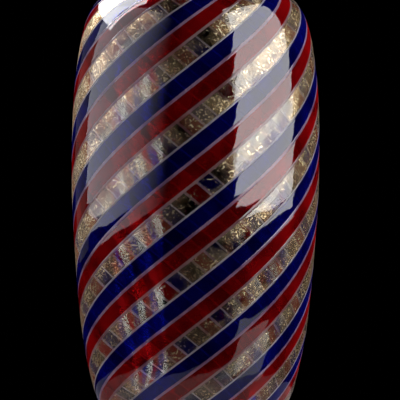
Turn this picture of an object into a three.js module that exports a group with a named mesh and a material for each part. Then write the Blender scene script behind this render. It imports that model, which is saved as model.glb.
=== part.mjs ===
// A blown glass vase of spiral canes: blue, red and leaf canes with thin threads between them,
// wound round a clear lining that stands on a clear foot. Millimetres, +Z up, origin under the foot.
import * as THREE from 'three';

// Outline of the outer surface, from the foot joint to the lip, as radius and height.
const jointRadius = 30;
const jointHeight = 9;
const heelRadius = 45.5;
const heelHeight = 25;
const lowerBodyRadius = 51.5;
const lowerBodyHeight = 36;
const taperRadius = 58.8;
const taperHeight = 67;
const bodyRadius = 64.3;
const bodyHeight = 130;
const widestRadius = 65;
const widestHeight = 156;
const upperBodyRadius = 63.3;
const upperBodyHeight = 203;
const shoulderRadius = 57.1;
const shoulderHeight = 235;
const shoulderTopRadius = 50;
const shoulderTopHeight = 245.5;
const neckRootRadius = 27;
const neckRootHeight = 260;
const neckRadius = 20;
const neckHeight = 272;
const lipRadius = 28;
const lipHeight = 291;

// Wall, from outside to inside.
const caneThickness = 2.2;
const seatGap = 0.3;
const liningThickness = 1.8;
const liningBaseThickness = 5;

// One repeat of the swirl, as widths in mm on the widest girth, in the order they lie.
const repeatCount = 9;
const blueRedThreadWidth = 2.4;
const redCaneWidth = 12;
const redLeafThreadWidth = 2.3;
const leafCaneWidth = 14.8;
const leafBlueThreadWidth = 1.6;
const blueCaneWidth = 12.2;
const seamWidth = 0.45;

// The canes lean away from the upright by one angle all the way up.
const caneLean = 51.2;
const anchorHeight = 164.6;
const stationCount = 24;
const outlineSamples = 1200;

// Foot, with a ground hollow under it.
const footRadius = 39;
const footEdgeHeight = 4.5;
const footEdgeRounding = 1.4;
const pontilRadius = 13;
const pontilDepth = 1.6;
const pontilSteps = 4;
const footSegments = 40;

const outline = new THREE.CatmullRomCurve3([
  [jointRadius, jointHeight], [heelRadius, heelHeight], [lowerBodyRadius, lowerBodyHeight],
  [taperRadius, taperHeight], [bodyRadius, bodyHeight], [widestRadius, widestHeight],
  [upperBodyRadius, upperBodyHeight], [shoulderRadius, shoulderHeight],
  [shoulderTopRadius, shoulderTopHeight], [neckRootRadius, neckRootHeight],
  [neckRadius, neckHeight], [lipRadius, lipHeight],
].map(([radius, height]) => new THREE.Vector3(radius, 0, height)), false, 'centripetal');

// Stations stand at equal steps of twist, so they are closer where the vase is narrow.
function makeStations() {
  const fine = outline.getSpacedPoints(outlineSamples);
  const turn = Math.tan(THREE.MathUtils.degToRad(caneLean));
  const twists = [0];
  for (let i = 1; i <= outlineSamples; i++) {
    const middleRadius = (fine[i].x + fine[i - 1].x) / 2;
    twists.push(twists[i - 1] + (turn * fine[i].distanceTo(fine[i - 1])) / middleRadius);
  }
  const anchor = twists[fine.findIndex((point) => point.z > anchorHeight)];
  const stations = [];
  for (let s = 0; s <= stationCount; s++) {
    const wanted = (twists[outlineSamples] * s) / stationCount;
    const found = twists.findIndex((twist) => twist >= wanted - 1e-9);
    const before = fine[Math.max(found - 1, 0)];
    const after = fine[Math.min(found + 1, outlineSamples)];
    const along = after.clone().sub(before).normalize();
    stations.push({
      radius: fine[found].x,
      height: fine[found].z,
      alongRadius: along.x,
      alongHeight: along.z,
      twist: wanted - anchor,
    });
  }
  return stations;
}

const stations = makeStations();

// A point of the wall: depth is measured inwards from the outer surface, angle 0 faces -Y.
function wallPoint(station, depth, angle) {
  const radius = station.radius - depth * station.alongHeight;
  const height = station.height + depth * station.alongRadius;
  const turned = angle + station.twist;
  return [radius * Math.sin(turned), -radius * Math.cos(turned), height];
}

function solidFrom(points, triangles) {
  const geometry = new THREE.BufferGeometry();
  geometry.setAttribute('position', new THREE.Float32BufferAttribute(points.flat(), 3));
  geometry.setIndex(triangles.flat());
  geometry.computeVertexNormals();
  return geometry;
}

// Two triangles between ring corners; the outer and inner diagonals both follow the swirl.
function sweptQuad(low, lowNext, high, highNext, inner) {
  return inner
    ? [[low, lowNext, highNext], [low, highNext, high]]
    : [[low, lowNext, high], [lowNext, highNext, high]];
}

// A cane or thread: a bar of four sides that follows the swirl from the foot to the lip.
function caneGeometry(startAngle, endAngle) {
  const points = [];
  const triangles = [];
  const corners = 4;
  for (const station of stations) {
    points.push(wallPoint(station, 0, startAngle), wallPoint(station, 0, endAngle));
    points.push(wallPoint(station, caneThickness, endAngle), wallPoint(station, caneThickness, startAngle));
  }
  for (let s = 0; s < stationCount; s++) {
    for (let k = 0; k < corners; k++) {
      const low = s * corners + k;
      const lowNext = s * corners + ((k + 1) % corners);
      triangles.push(...sweptQuad(low, lowNext, low + corners, lowNext + corners, k >= 2));
    }
  }
  const top = stationCount * corners;
  triangles.push([0, 3, 2], [0, 2, 1], [top, top + 1, top + 2], [top, top + 2, top + 3]);
  return solidFrom(points, triangles);
}

// The lining: an open vessel whose columns turn with the canes that lie on it.
function liningGeometry(columnAngles) {
  const outerDepth = caneThickness + seatGap;
  const innerDepth = outerDepth + liningThickness;
  const columns = columnAngles.length;
  const points = [];
  const triangles = [];
  for (const depth of [outerDepth, innerDepth]) {
    for (const station of stations) {
      columnAngles.forEach((angle) => points.push(wallPoint(station, depth, angle)));
    }
  }
  const innerStart = columns * stations.length;
  const floorHeight = points[0][2] + liningBaseThickness;
  for (let i = innerStart; i < innerStart + columns; i++) {
    points[i][2] = floorHeight;
  }
  const outerCentre = points.push([0, 0, points[0][2]]) - 1;
  const innerCentre = points.push([0, 0, floorHeight]) - 1;
  for (let c = 0; c < columns; c++) {
    const next = (c + 1) % columns;
    for (let s = 0; s < stationCount; s++) {
      const low = s * columns;
      const high = low + columns;
      triangles.push(...sweptQuad(low + c, low + next, high + c, high + next, false));
      const innerLow = innerStart + low;
      const innerHigh = innerStart + high;
      triangles.push(...sweptQuad(innerLow + next, innerLow + c, innerHigh + next, innerHigh + c, true));
    }
    const lip = stationCount * columns;
    triangles.push([lip + c, lip + next, innerStart + lip + next]);
    triangles.push([lip + c, innerStart + lip + next, innerStart + lip + c]);
    triangles.push([outerCentre, next, c]);
    triangles.push([innerCentre, innerStart + c, innerStart + next]);
  }
  return solidFrom(points, triangles);
}

// The foot: its seat runs under the cane ends and under the lining, one seat gap away.
function footGeometry() {
  const first = stations[0];
  const liningDepth = caneThickness + seatGap;
  const seatPoint = (depth) => new THREE.Vector2(
    first.radius - depth * first.alongHeight - seatGap * first.alongRadius,
    first.height + depth * first.alongRadius - seatGap * first.alongHeight,
  );
  const seatOuter = seatPoint(0);
  const seatInner = seatPoint(liningDepth);
  const liningUnderside = first.height + liningDepth * first.alongRadius;
  const hollow = [];
  for (let k = 0; k <= pontilSteps; k++) {
    const share = k / pontilSteps;
    hollow.push(new THREE.Vector2(pontilRadius * share, pontilDepth * (1 - share * share)));
  }
  const profile = [
    ...hollow,
    new THREE.Vector2(footRadius - footEdgeRounding, 0),
    new THREE.Vector2(footRadius, footEdgeRounding),
    new THREE.Vector2(footRadius, footEdgeHeight - footEdgeRounding),
    new THREE.Vector2(footRadius - footEdgeRounding, footEdgeHeight),
    seatOuter,
    new THREE.Vector2(seatInner.x, Math.min(seatInner.y, liningUnderside - seatGap)),
    new THREE.Vector2(0, liningUnderside - seatGap),
  ];
  const geometry = new THREE.LatheGeometry(profile, footSegments);
  geometry.rotateX(Math.PI / 2);
  return geometry;
}

const finishes = {
  blue: new THREE.MeshStandardMaterial({ color: 0x101a9c, roughness: 0.05, metalness: 0 }),
  red: new THREE.MeshStandardMaterial({ color: 0xa00c14, roughness: 0.05, metalness: 0 }),
  leaf: new THREE.MeshStandardMaterial({ color: 0xb9a878, roughness: 0.15, metalness: 0.4 }),
  thread: new THREE.MeshStandardMaterial({ color: 0xd9c4d8, roughness: 0.1, metalness: 0 }),
  clear: new THREE.MeshStandardMaterial({ color: 0xe6ecec, roughness: 0.03, metalness: 0 }),
};

const vase = new THREE.Group();

function addPiece(name, geometry, material) {
  const piece = new THREE.Mesh(geometry, material);
  piece.name = name;
  vase.add(piece);
}

// The repeat starts at the middle of the thread between blue and red.
const bands = [
  { name: 'thread_blue_red', width: blueRedThreadWidth, finish: finishes.thread },
  { name: 'red_cane', width: redCaneWidth, finish: finishes.red },
  { name: 'thread_red_leaf', width: redLeafThreadWidth, finish: finishes.thread },
  { name: 'leaf_cane', width: leafCaneWidth, finish: finishes.leaf },
  { name: 'thread_leaf_blue', width: leafBlueThreadWidth, finish: finishes.thread },
  { name: 'blue_cane', width: blueCaneWidth, finish: finishes.blue },
];
const repeatWidth = bands.reduce((sum, band) => sum + band.width, 0);
const angleOf = (width) => ((width / repeatWidth) * 2 * Math.PI) / repeatCount;

const columnAngles = [];
for (let repeat = 0; repeat < repeatCount; repeat++) {
  let angle = (2 * Math.PI * repeat) / repeatCount - angleOf(blueRedThreadWidth) / 2;
  for (const band of bands) {
    const start = angle + angleOf(seamWidth) / 2;
    const end = angle + angleOf(band.width) - angleOf(seamWidth) / 2;
    addPiece(`${band.name}_${repeat + 1}`, caneGeometry(start, end), band.finish);
    columnAngles.push(angle);
    angle += angleOf(band.width);
  }
}
addPiece('inner_lining', liningGeometry(columnAngles), finishes.clear);
addPiece('foot', footGeometry(), finishes.clear);

export default vase;
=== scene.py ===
# %% [markdown]
# # A blown glass vase of spiral canes
# The vase is a clear glass vessel with coloured glass canes laid side by side on it. The canes were
# twisted while hot, so each one runs round the vase as a helix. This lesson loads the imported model
# as a fixed frame and gives each cane, thread, lining and foot a smooth mesh and a glass finish.

# %% Load the frame
import math

import bmesh
import bpy
import numpy as np
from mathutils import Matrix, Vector


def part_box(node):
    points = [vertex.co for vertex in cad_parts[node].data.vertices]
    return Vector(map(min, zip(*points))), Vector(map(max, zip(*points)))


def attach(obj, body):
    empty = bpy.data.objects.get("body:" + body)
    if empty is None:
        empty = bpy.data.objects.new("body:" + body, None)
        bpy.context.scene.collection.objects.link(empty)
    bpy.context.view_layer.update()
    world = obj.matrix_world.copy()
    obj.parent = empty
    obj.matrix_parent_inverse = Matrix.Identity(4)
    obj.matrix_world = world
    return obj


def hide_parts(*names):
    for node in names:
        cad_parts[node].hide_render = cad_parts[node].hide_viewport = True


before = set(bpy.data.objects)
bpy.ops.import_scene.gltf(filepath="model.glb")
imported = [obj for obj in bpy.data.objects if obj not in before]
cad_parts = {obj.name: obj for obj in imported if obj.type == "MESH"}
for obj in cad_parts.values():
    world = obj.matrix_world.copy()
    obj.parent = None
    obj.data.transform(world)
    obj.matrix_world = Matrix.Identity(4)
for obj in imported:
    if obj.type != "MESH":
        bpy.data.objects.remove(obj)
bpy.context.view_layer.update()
MM = 0.001

# %% [markdown]
# ## The outline
# The outer surface is one smooth curve turned about the axis. A centripetal spline through a few
# radii and heights is used, because it passes through its points with no overshoot.

# %% Outline and swirl
OUTLINE_MM = [
    (30, 9), (45.5, 25), (51.5, 36), (58.8, 67), (64.3, 130), (65, 156),
    (63.3, 203), (57.1, 235), (50, 245.5), (27, 260), (20, 272), (28, 291),
]
CANE_THICKNESS = 2.2 * MM
SEAT_GAP = 0.3 * MM
LINING_THICKNESS = 1.8 * MM
LINING_BASE = 5 * MM
CANE_LEAN = math.radians(51.2)
ANCHOR_HEIGHT = 164.6 * MM


def spline_segment(before, start, end, after, steps):
    """Points of a centripetal Catmull-Rom curve from start to end."""
    gaps = [math.sqrt(np.linalg.norm(b - a)) for a, b in ((before, start), (start, end), (end, after))]
    leave = (start - before) / gaps[0] - (end - before) / (gaps[0] + gaps[1]) + (end - start) / gaps[1]
    arrive = (end - start) / gaps[1] - (after - start) / (gaps[1] + gaps[2]) + (after - end) / gaps[2]
    leave, arrive = leave * gaps[1], arrive * gaps[1]
    t = np.linspace(0, 1, steps, endpoint=False)[:, None]
    return (
        start * (2 * t**3 - 3 * t**2 + 1) + leave * (t**3 - 2 * t**2 + t)
        + end * (3 * t**2 - 2 * t**3) + arrive * (t**3 - t**2)
    )


def outline_curve(steps=120):
    """The whole outline as closely spaced points, in metres."""
    points = np.array(OUTLINE_MM, float) * MM
    padded = np.vstack([2 * points[0] - points[1], points, 2 * points[-1] - points[-2]])
    parts = [spline_segment(*padded[i:i + 4], steps) for i in range(len(points) - 1)]
    return np.vstack(parts + [points[-1:]])


curve = outline_curve()
steps_along = np.linalg.norm(np.diff(curve, axis=0), axis=1)
middle_radii = (curve[1:, 0] + curve[:-1, 0]) / 2
twists = np.concatenate([[0], np.cumsum(math.tan(CANE_LEAN) * steps_along / middle_radii)])
tangents = np.gradient(curve, axis=0)
tangents /= np.linalg.norm(tangents, axis=1)[:, None]
anchor_twist = twists[np.argmax(curve[:, 1] > ANCHOR_HEIGHT)]
print("total twist", round(math.degrees(twists[-1])), "degrees")


def wall_point(share, depth, angle):
    """A point of the wall. share is the part of the twist passed, depth is inwards, angle 0 faces -Y."""
    twist = share * twists[-1]
    radius, height = (np.interp(twist, twists, curve[:, k]) for k in (0, 1))
    along_radius, along_height = (np.interp(twist, twists, tangents[:, k]) for k in (0, 1))
    radius -= depth * along_height
    height += depth * along_radius
    turned = angle + twist - anchor_twist
    return Vector((radius * math.sin(turned), -radius * math.cos(turned), height))


# %% [markdown]
# ## Glass that light passes straight through
# The wall is thin, so it bends light very little. A tinted Transparent shader stands for the body of
# the glass, a Principled shader for what scatters in it, and a Glossy shader for its polished skin.
# The skin's strength follows Layer Weight's Facing to the fifth power, as a glass surface does.

# %% Node helpers
def new_material(name):
    """An empty node material with its output."""
    material = bpy.data.materials.new(name)
    material.use_nodes = True
    tree = material.node_tree
    tree.nodes.clear()
    return material, tree, tree.nodes.new("ShaderNodeOutputMaterial")


def math_node(tree, operation, first, second):
    """A Math node of two inputs, each a socket or a number."""
    node = tree.nodes.new("ShaderNodeMath")
    node.operation = operation
    for socket, value in zip(node.inputs, (first, second)):
        if isinstance(value, (int, float)):
            socket.default_value = value
        else:
            tree.links.new(value, socket)
    return node.outputs[0]


def colour_mix(tree, factor, first, second):
    """Blends two plain colours by a factor that changes over the surface."""
    node = tree.nodes.new("ShaderNodeMix")
    node.data_type = "RGBA"
    tree.links.new(factor, node.inputs["Factor"])
    node.inputs["A"].default_value = (*first, 1)
    node.inputs["B"].default_value = (*second, 1)
    return node.outputs["Result"]


# %% [markdown]
# ## One group for the drawn-out streaks and ripple
# Pulled glass has faint streaks and a slow ripple. All canes share them, so they are one group with
# named inputs, which reads Object coordinates because every mesh stands in the vase's own frame.

# %% The shared ripple group
def build_ripple_group():
    """Puts out a mask of colour streaks and a normal with a slow ripple."""
    group = bpy.data.node_groups.new("pulled_glass", "ShaderNodeTree")
    for name, default in (("Streak Scale", 60.0), ("Ripple Scale", 90.0), ("Ripple Strength", 0.1)):
        socket = group.interface.new_socket(name, in_out="INPUT", socket_type="NodeSocketFloat")
        socket.default_value = default
    group.interface.new_socket("Streaks", in_out="OUTPUT", socket_type="NodeSocketFloat")
    group.interface.new_socket("Normal", in_out="OUTPUT", socket_type="NodeSocketVector")
    inputs, outputs = group.nodes.new("NodeGroupInput"), group.nodes.new("NodeGroupOutput")
    place = group.nodes.new("ShaderNodeTexCoord")
    streaks, ripple = group.nodes.new("ShaderNodeTexNoise"), group.nodes.new("ShaderNodeTexNoise")
    bump = group.nodes.new("ShaderNodeBump")
    bump.inputs["Distance"].default_value = 0.0006
    link = group.links.new
    for noise, scale in ((streaks, "Streak Scale"), (ripple, "Ripple Scale")):
        link(place.outputs["Object"], noise.inputs["Vector"])
        link(inputs.outputs[scale], noise.inputs["Scale"])
    link(ripple.outputs["Fac"], bump.inputs["Height"])
    link(inputs.outputs["Ripple Strength"], bump.inputs["Strength"])
    link(streaks.outputs["Fac"], outputs.inputs["Streaks"])
    link(bump.outputs["Normal"], outputs.inputs["Normal"])
    return group


ripple_group = build_ripple_group()


def pulled_glass(tree, streak_scale, ripple_strength):
    """Places the shared group in a material with its own values."""
    node = tree.nodes.new("ShaderNodeGroup")
    node.node_tree = ripple_group
    node.inputs["Streak Scale"].default_value = streak_scale
    node.inputs["Ripple Strength"].default_value = ripple_strength
    return node


HEAD_ON_REFLECTANCE = 0.045
GRAZING_REFLECTANCE = 0.5
GRAZING_POWER = 5.0
SKIN_ROUGHNESS = 0.025


def polished_skin(tree, body, facing, normal, output, from_front=1.0, from_behind=0.07):
    """Lays a polished surface over the body shader. Its two sides may reflect by different shares."""
    grazing = math_node(tree, "POWER", facing, GRAZING_POWER)
    gain = math_node(tree, "MULTIPLY", grazing, GRAZING_REFLECTANCE)
    full = math_node(tree, "ADD", gain, HEAD_ON_REFLECTANCE)
    behind = tree.nodes.new("ShaderNodeNewGeometry").outputs["Backfacing"]
    change = math_node(tree, "MULTIPLY", behind, from_behind - from_front)
    side = math_node(tree, "ADD", change, from_front)
    reflectance = math_node(tree, "MULTIPLY", full, side)
    glossy = tree.nodes.new("ShaderNodeBsdfGlossy")
    glossy.inputs["Roughness"].default_value = SKIN_ROUGHNESS
    tree.links.new(normal, glossy.inputs["Normal"])
    tree.links.new(shader_mix(tree, reflectance, body, glossy.outputs[0]), output.inputs["Surface"])


def shader_mix(tree, factor, first, second):
    """Mixes two shaders by a socket or a number."""
    mix = tree.nodes.new("ShaderNodeMixShader")
    if isinstance(factor, float):
        mix.inputs["Fac"].default_value = factor
    else:
        tree.links.new(factor, mix.inputs["Fac"])
    tree.links.new(first, mix.inputs[1])
    tree.links.new(second, mix.inputs[2])
    return mix.outputs[0]


def facing_weight(tree):
    """0 where the surface faces the viewer and 1 where it is seen edge on."""
    weight = tree.nodes.new("ShaderNodeLayerWeight")
    weight.inputs["Blend"].default_value = 0.5
    return weight.outputs["Facing"]


def stretch(tree, value, low, high):
    """Stretches the part of a mask from low to high to the whole of 0 to 1."""
    node = tree.nodes.new("ShaderNodeMapRange")
    node.interpolation_type = "SMOOTHSTEP"
    node.inputs["From Min"].default_value = low
    node.inputs["From Max"].default_value = high
    tree.links.new(value, node.inputs["Value"])
    return node.outputs[0]


# %% [markdown]
# ## Coloured canes and threads
# Cobalt and ruby are deep transparent colours. Seen edge on, the light has a longer way through the
# glass, so more of it scatters: the scattering share grows with Facing. Threads are milky all over.

# %% Coloured glass
CANE_STREAK_SCALE = 60.0
CANE_RIPPLE = 0.05
SCATTER_ROUGHNESS = 0.4
LIT_FROM_BEHIND = 0.4


def coloured_glass(name, clear_tint, scatter_dark, scatter_light, face_on, edge_on=0.8):
    """Tinted glass: a share of it scatters, more so edge on, and the rest lets light through."""
    material, tree, output = new_material(name)
    pulled = pulled_glass(tree, CANE_STREAK_SCALE, CANE_RIPPLE)
    facing = facing_weight(tree)
    transparent = tree.nodes.new("ShaderNodeBsdfTransparent")
    transparent.inputs["Color"].default_value = (*clear_tint, 1)
    streaks = stretch(tree, pulled.outputs["Streaks"], 0.35, 0.65)
    streaked = colour_mix(tree, streaks, scatter_dark, scatter_light)
    front = tree.nodes.new("ShaderNodeBsdfPrincipled")
    front.inputs["Roughness"].default_value = SCATTER_ROUGHNESS
    front.inputs["Specular IOR Level"].default_value = 0.0
    through = tree.nodes.new("ShaderNodeBsdfTranslucent")
    tree.links.new(streaked, front.inputs["Base Color"])
    tree.links.new(streaked, through.inputs["Color"])
    scatter = shader_mix(tree, LIT_FROM_BEHIND, front.outputs[0], through.outputs[0])
    longer_way = math_node(tree, "MULTIPLY", math_node(tree, "POWER", facing, 2.0), edge_on - face_on)
    body = shader_mix(tree, math_node(tree, "ADD", longer_way, face_on), transparent.outputs[0], scatter)
    polished_skin(tree, body, facing, pulled.outputs["Normal"], output)
    return material


cobalt = coloured_glass("cobalt_glass", (0.006, 0.011, 0.44), (0.002, 0.002, 0.14),
                        (0.005, 0.006, 0.36), 0.25)
ruby = coloured_glass("ruby_glass", (0.55, 0.006, 0.01), (0.38, 0.002, 0.004), (0.8, 0.006, 0.01), 0.25)
lavender = coloured_glass("lavender_thread", (0.6, 0.45, 0.62), (0.4, 0.22, 0.38), (0.72, 0.5, 0.7), 0.6)
blush = coloured_glass("blush_thread", (0.7, 0.5, 0.5), (0.44, 0.22, 0.23), (0.74, 0.48, 0.48), 0.5)
white = coloured_glass("white_thread", (0.7, 0.7, 0.75), (0.6, 0.57, 0.64), (0.88, 0.86, 0.92), 0.6)
print("coloured glasses", [glass.name for glass in (cobalt, ruby, lavender, blush, white)])

# %% [markdown]
# ## Crinkled metal leaf
# The leaf tore as the glass was blown out. Fine grit in torn patches lets the far wall show through,
# bright wrinkles run between the patches, and edge on the flakes close up into gold.

# %% Leaf cane
LEAF_PATCH_SCALE = 85.0
LEAF_GRIT_SCALE = 950.0
LEAF_WRINKLE_SCALE = 170.0
LEAF_RIPPLE = 0.06
PATCH_COVER = 0.2
SPECK_COVER = 0.3
WRINKLE_COVER = 0.55
EDGE_ON_COVER = 0.75
LEAF_ROUGHNESS = 0.42
DARK_LEAF, BRIGHT_LEAF = (0.4, 0.28, 0.14), (0.72, 0.6, 0.4)
CLEAR_WINDOW, DUSTY_WINDOW = (0.95, 0.92, 0.88), (0.5, 0.45, 0.38)


def leaf_glass():
    """Clear glass over torn gold and silver leaf."""
    material, tree, output = new_material("leaf_glass")
    pulled = pulled_glass(tree, LEAF_PATCH_SCALE, LEAF_RIPPLE)
    facing = facing_weight(tree)
    place = tree.nodes.new("ShaderNodeTexCoord")
    grit = tree.nodes.new("ShaderNodeTexNoise")
    grit.inputs["Scale"].default_value = LEAF_GRIT_SCALE
    grit.inputs["Detail"].default_value = 4.0
    wrinkles = tree.nodes.new("ShaderNodeTexVoronoi")
    wrinkles.feature = "DISTANCE_TO_EDGE"
    wrinkles.inputs["Scale"].default_value = LEAF_WRINKLE_SCALE
    for texture in (grit, wrinkles):
        tree.links.new(place.outputs["Object"], texture.inputs["Vector"])
    torn = stretch(tree, pulled.outputs["Streaks"], 0.4, 0.62)
    specks = stretch(tree, grit.outputs["Fac"], 0.5, 0.68)
    off_wrinkle = stretch(tree, wrinkles.outputs["Distance"], 0.0, 0.07)
    on_wrinkle = math_node(tree, "SUBTRACT", 1.0, off_wrinkle)
    flakes = math_node(tree, "ADD", math_node(tree, "MULTIPLY", specks, SPECK_COVER), PATCH_COVER)
    patch = math_node(tree, "MULTIPLY", torn, flakes)
    lines = math_node(tree, "MULTIPLY", math_node(tree, "MULTIPLY", on_wrinkle, specks), WRINKLE_COVER)
    closed_up = math_node(tree, "MULTIPLY", math_node(tree, "POWER", facing, 2.5), EDGE_ON_COVER)
    cover = math_node(tree, "ADD", math_node(tree, "ADD", patch, lines), closed_up)
    crumple = tree.nodes.new("ShaderNodeBump")
    crumple.inputs["Strength"].default_value = 0.6
    crumple.inputs["Distance"].default_value = 0.0004
    tree.links.new(grit.outputs["Fac"], crumple.inputs["Height"])
    metal = tree.nodes.new("ShaderNodeBsdfPrincipled")
    metal.inputs["Metallic"].default_value = 1.0
    metal.inputs["Roughness"].default_value = LEAF_ROUGHNESS
    tree.links.new(colour_mix(tree, specks, DARK_LEAF, BRIGHT_LEAF), metal.inputs["Base Color"])
    tree.links.new(crumple.outputs["Normal"], metal.inputs["Normal"])
    transparent = tree.nodes.new("ShaderNodeBsdfTransparent")
    dust = math_node(tree, "MULTIPLY", torn, specks)
    tree.links.new(colour_mix(tree, dust, CLEAR_WINDOW, DUSTY_WINDOW), transparent.inputs["Color"])
    body = shader_mix(tree, cover, transparent.outputs[0], metal.outputs[0])
    polished_skin(tree, body, facing, pulled.outputs["Normal"], output)
    return material


leaf = leaf_glass()

# %% [markdown]
# ## Fused faces, lining and foot
# Where two pieces are fused no surface is left to see, so those faces let everything through. The
# lining's inner face is polished. The foot is clear, with a share of true refracting glass in it.

# %% Clear finishes
def fused_face():
    """A face inside the fused wall, which shows nothing."""
    material, tree, output = new_material("fused_face")
    transparent = tree.nodes.new("ShaderNodeBsdfTransparent")
    transparent.inputs["Color"].default_value = (1, 1, 1, 1)
    tree.links.new(transparent.outputs[0], output.inputs["Surface"])
    return material


def lining_glass():
    """The polished inside of the vase."""
    material, tree, output = new_material("lining_glass")
    pulled = pulled_glass(tree, 40.0, 0.06)
    transparent = tree.nodes.new("ShaderNodeBsdfTransparent")
    tree.links.new(colour_mix(tree, pulled.outputs["Streaks"], (0.95, 0.97, 0.97), (0.99, 1, 1)),
                   transparent.inputs["Color"])
    polished_skin(tree, transparent.outputs[0], facing_weight(tree), pulled.outputs["Normal"], output,
                  from_front=0.1, from_behind=1.0)
    return material


def foot_glass():
    """Thick clear glass with a faint ripple."""
    material, tree, output = new_material("foot_glass")
    pulled = pulled_glass(tree, 40.0, 0.1)
    glass = tree.nodes.new("ShaderNodeBsdfPrincipled")
    glass.inputs["Roughness"].default_value = 0.02
    glass.inputs["IOR"].default_value = 1.5
    glass.inputs["Transmission Weight"].default_value = 1.0
    tree.links.new(colour_mix(tree, pulled.outputs["Streaks"], (0.9, 0.94, 0.94), (0.96, 0.98, 0.98)),
                   glass.inputs["Base Color"])
    tree.links.new(pulled.outputs["Normal"], glass.inputs["Normal"])
    transparent = tree.nodes.new("ShaderNodeBsdfTransparent")
    transparent.inputs["Color"].default_value = (0.84, 0.9, 0.9, 1)
    body = shader_mix(tree, 0.18, transparent.outputs[0], glass.outputs[0])
    polished_skin(tree, body, facing_weight(tree), pulled.outputs["Normal"], output)
    return material


fused, lining_finish, foot_finish = fused_face(), lining_glass(), foot_glass()

# %% [markdown]
# ## Canes
# A cane starts as a flat grid, gets its thickness from solidify, and is then bent on to the wall.
# The crown lifts its middle a little above the seams, which breaks up the reflections as on the vase.

# %% Make a cane
ROWS = 220
CROWN = 0.06 * MM
VISIBLE_SEAM = 0.0004  # radians left free at each side of a piece


def finish_piece(bm, name, materials, slot, *nodes):
    """Turns the bmesh into a finished piece that stands for its CAD nodes."""
    bmesh.ops.remove_doubles(bm, verts=bm.verts, dist=1e-7)
    bmesh.ops.recalc_face_normals(bm, faces=bm.faces)
    mesh = bpy.data.meshes.new(name)
    bm.to_mesh(mesh)
    bm.free()
    mesh.shade_smooth()
    mesh.set_sharp_from_angle(angle=math.radians(40))
    for material in materials:
        mesh.materials.append(material)
    piece = bpy.data.objects.new(name, mesh)
    bpy.context.scene.collection.objects.link(piece)
    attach(piece, "root")
    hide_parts(*nodes)
    return piece


def make_cane(node, material, slot, start, end, across):
    """A bar of glass bent round the vase between two angles."""
    bm = bmesh.new()
    bmesh.ops.create_grid(bm, x_segments=across, y_segments=ROWS, size=0.5)
    bmesh.ops.solidify(bm, geom=bm.faces[:], thickness=1.0)
    levels = [vert.co.z for vert in bm.verts]
    low, high = min(levels), max(levels)
    for face in bm.faces:
        outer = all(vert.co.z > (low + high) / 2 for vert in face.verts)
        face.material_index = 0 if outer else 1
    for vert in bm.verts:
        share_across = min(max(vert.co.x + 0.5, 0), 1)
        share_along = min(max(vert.co.y + 0.5, 0), 1)
        outer = vert.co.z > (low + high) / 2
        seam_drop = CROWN * (2 * share_across - 1) ** 4
        depth = seam_drop if outer else CANE_THICKNESS
        vert.co = wall_point(share_along, depth, start + (end - start) * share_across)
    return finish_piece(bm, node + "_glass", (material, fused), slot, node)


REPEATS = 9
BANDS = [
    ("thread_blue_red", 2.4, lavender, "lavender_thread", 3),
    ("red_cane", 12.0, ruby, "ruby_glass", 8),
    ("thread_red_leaf", 2.3, blush, "white_thread", 3),
    ("leaf_cane", 14.8, leaf, "leaf_glass", 8),
    ("thread_leaf_blue", 1.6, white, "white_thread", 3),
    ("blue_cane", 12.2, cobalt, "cobalt_glass", 8),
]
repeat_width = sum(band[1] for band in BANDS)
repeat_angle = 2 * math.pi / REPEATS
for repeat in range(REPEATS):
    angle = repeat * repeat_angle - repeat_angle * BANDS[0][1] / repeat_width / 2
    for stem, width, material, slot, across in BANDS:
        sweep = repeat_angle * width / repeat_width
        start, end = angle + VISIBLE_SEAM, angle + sweep - VISIBLE_SEAM
        make_cane(f"{stem}_{repeat + 1}", material, slot, start, end, across)
        angle += sweep
print("canes and threads", REPEATS * len(BANDS))

# %% [markdown]
# ## Lining and foot
# Both are turned shapes, so a profile of edges is spun round the axis. The lining's profile runs up
# its outside, over the lip and down its inside.

# %% Spin the lining and the foot
def spin_profile(bm, points, turns=144):
    """Spins a chain of points once round the axis."""
    verts = [bm.verts.new((radius, 0, height)) for radius, height in points]
    edges = [bm.edges.new(pair) for pair in zip(verts, verts[1:])]
    bmesh.ops.spin(bm, geom=verts + edges, cent=(0, 0, 0), axis=(0, 0, 1), angle=2 * math.pi,
                   steps=turns, use_merge=True)


def wall_profile(depth, rows):
    """Radius and height up the wall at one depth."""
    points = [wall_point(row / rows, depth, 0) for row in range(rows + 1)]
    return [(math.hypot(point.x, point.y), point.z) for point in points]


PROFILE_ROWS = 70
FUSED_GAP = SEAT_GAP / 10
outer_side = wall_profile(CANE_THICKNESS + FUSED_GAP, PROFILE_ROWS)
inner_side = wall_profile(CANE_THICKNESS + SEAT_GAP + LINING_THICKNESS, PROFILE_ROWS)
floor_height = outer_side[0][1] + LINING_BASE
inner_side = [point for point in inner_side if point[1] > floor_height]
lining_mesh = bmesh.new()
spin_profile(lining_mesh, [(0, outer_side[0][1])] + outer_side + inner_side[::-1] + [(0, floor_height)])
lining = finish_piece(lining_mesh, "lining_glass_wall", (lining_finish,), "clear_glass", "inner_lining")
print("lining faces", len(lining.data.polygons))

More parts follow.
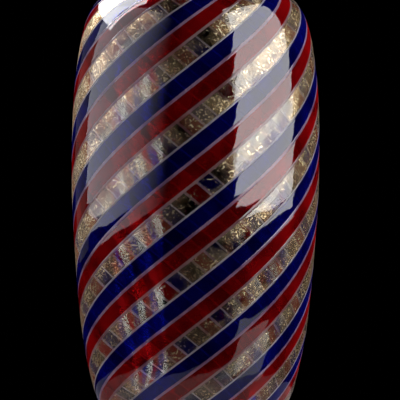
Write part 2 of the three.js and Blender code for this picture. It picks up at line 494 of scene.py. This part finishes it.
FOOT_RADIUS = 39 * MM
FOOT_EDGE = 4.5 * MM
PONTIL_RADIUS = 13 * MM
PONTIL_DEPTH = 1.6 * MM
ROUNDING = 1.8 * MM
foot_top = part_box("foot")[1].z
joint_radius = OUTLINE_MM[0][0] * MM
joint_height = OUTLINE_MM[0][1] * MM
edge_arc = [
    (FOOT_RADIUS - ROUNDING + ROUNDING * math.cos(math.radians(turn)),
     FOOT_EDGE / 2 + (FOOT_EDGE / 2) * math.sin(math.radians(turn)))
    for turn in range(-90, 91, 15)
]
pontil_arc = [
    (PONTIL_RADIUS * share, PONTIL_DEPTH * (1 - share**2)) for share in np.linspace(0, 1, 9)
]
foot_mesh = bmesh.new()
flare_point = (joint_radius + 3 * MM, FOOT_EDGE + 1.4 * MM)
seat_point = (joint_radius - SEAT_GAP, joint_height - SEAT_GAP)
seat_edge = (joint_radius - 2 * MM, foot_top)
spin_profile(foot_mesh, pontil_arc + edge_arc + [flare_point, seat_point, seat_edge, (0, foot_top)])
finish_piece(foot_mesh, "foot_clear", (foot_finish,), "clear_glass", "foot")

# %% [markdown]
# ## Floor, lights and camera
# Glass shows its shape by what it mirrors: a tall bright softbox at the right and a wide dim one at
# the left. The floor is a pale round board below the view. A black world keeps the glass deep.

# %% Stage
bpy.ops.mesh.primitive_circle_add(vertices=96, radius=0.15, fill_type="NGON", location=(0, 0, 0))
floor = bpy.context.object
floor.name = "floor_board"
floor_material, floor_tree, floor_output = new_material("pale_board")
board = floor_tree.nodes.new("ShaderNodeBsdfPrincipled")
board.inputs["Base Color"].default_value = (0.76, 0.755, 0.74, 1)
board.inputs["Roughness"].default_value = 0.9
board.inputs["Specular IOR Level"].default_value = 0.0
floor_tree.links.new(board.outputs[0], floor_output.inputs["Surface"])
floor.data.materials.append(floor_material)

world = bpy.data.worlds.new("dark_room")
bpy.context.scene.world = world
world.use_nodes = True
world.node_tree.nodes["Background"].inputs["Color"].default_value = (0, 0, 0, 1)


def softbox(name, place, target, width, height, radiance, colour=(1, 1, 1), fades=False, plain=False):
    """An area light at place that faces target. A plain one lights surfaces and isn't mirrored in
    them, and any other is only mirrored. One that fades grows dim towards one side."""
    light = bpy.data.lights.new(name, "AREA")
    light.shape = "RECTANGLE"
    light.size, light.size_y = width, height
    light.energy = radiance * math.pi * width * height
    light.color = colour
    lamp = bpy.data.objects.new(name, light)
    lamp.location = place
    lamp.rotation_euler = (Vector(target) - Vector(place)).to_track_quat("-Z", "Y").to_euler()
    lamp.visible_diffuse = lamp.visible_transmission = plain
    lamp.visible_glossy = not plain
    bpy.context.scene.collection.objects.link(lamp)
    if fades:
        light.use_nodes = True
        nodes, links = light.node_tree.nodes, light.node_tree.links
        across = nodes.new("ShaderNodeSeparateXYZ")
        ramp = nodes.new("ShaderNodeMapRange")
        ramp.interpolation_type = "SMOOTHSTEP"
        ramp.inputs["To Min"].default_value = 1.0
        ramp.inputs["To Max"].default_value = 0.0
        ramp.inputs["From Min"].default_value = FADE_START
        ramp.inputs["From Max"].default_value = FADE_END
        links.new(nodes.new("ShaderNodeNewGeometry").outputs["Parametric"], across.inputs[0])
        links.new(across.outputs["X"], ramp.inputs["Value"])
        links.new(ramp.outputs[0], nodes["Emission"].inputs["Strength"])
    return lamp


def around(azimuth, height, distance=0.6):
    """A place round the vase. azimuth is to the right of the camera's side, in degrees."""
    turned = math.radians(azimuth)
    return distance * math.sin(turned), -distance * math.cos(turned), height


FADE_START, FADE_END = 0.2, 0.95
COOL_WHITE, WARM_WHITE = (0.92, 0.93, 1.0), (1.0, 0.93, 0.82)
softbox("key_right", around(66, 0.5), (0, 0, 0.5), 0.72, 0.88, 7.5)
softbox("fill_left", around(-67, 0.42), (0, 0, 0.42), 1.3, 0.78, 3.4, COOL_WHITE, fades=True)
softbox("low_right", around(60, -0.2), (0, 0, -0.2), 0.36, 0.2, 1.3)
softbox("shoulder_left", (-0.50, 0.30, 0.76), (-0.04, -0.03, 0.24), 0.8, 0.6, 15.0)
softbox("edge_left", around(-128, 0.3), (0, 0, 0.16), 0.3, 0.6, 0.22, WARM_WHITE)
softbox("plain_right", around(66, 0.5), (0, 0, 0.3), 0.72, 0.88, 2.2, plain=True)
softbox("plain_left", around(-80, 0.42), (0, 0, 0.2), 1.0, 0.78, 0.9, plain=True)
softbox("plain_behind", around(-140, 0.5), (0, 0, 0.16), 0.5, 0.6, 1.2, plain=True)

DISTANCE = 727.6 * MM
CAMERA_HEIGHT = 190.8 * MM
AIM_HEIGHT = 140.2 * MM
AIM_RIGHT = 2.1 * MM
ROLL = math.radians(-0.53)
camera_data = bpy.data.cameras.new("camera")
camera_data.sensor_width = 36
camera_data.lens = 124.2
camera = bpy.data.objects.new("camera", camera_data)
camera.location = (AIM_RIGHT, -DISTANCE, CAMERA_HEIGHT)
pitch = math.atan2(CAMERA_HEIGHT - AIM_HEIGHT, DISTANCE)
camera.rotation_euler = (math.pi / 2 - pitch, ROLL, 0)
bpy.context.scene.collection.objects.link(camera)
bpy.context.scene.camera = camera
bpy.context.scene.view_settings.view_transform = "Standard"
bpy.context.scene.cycles.transparent_max_bounces = 32

# %% Finish
bpy.context.view_layer.update()
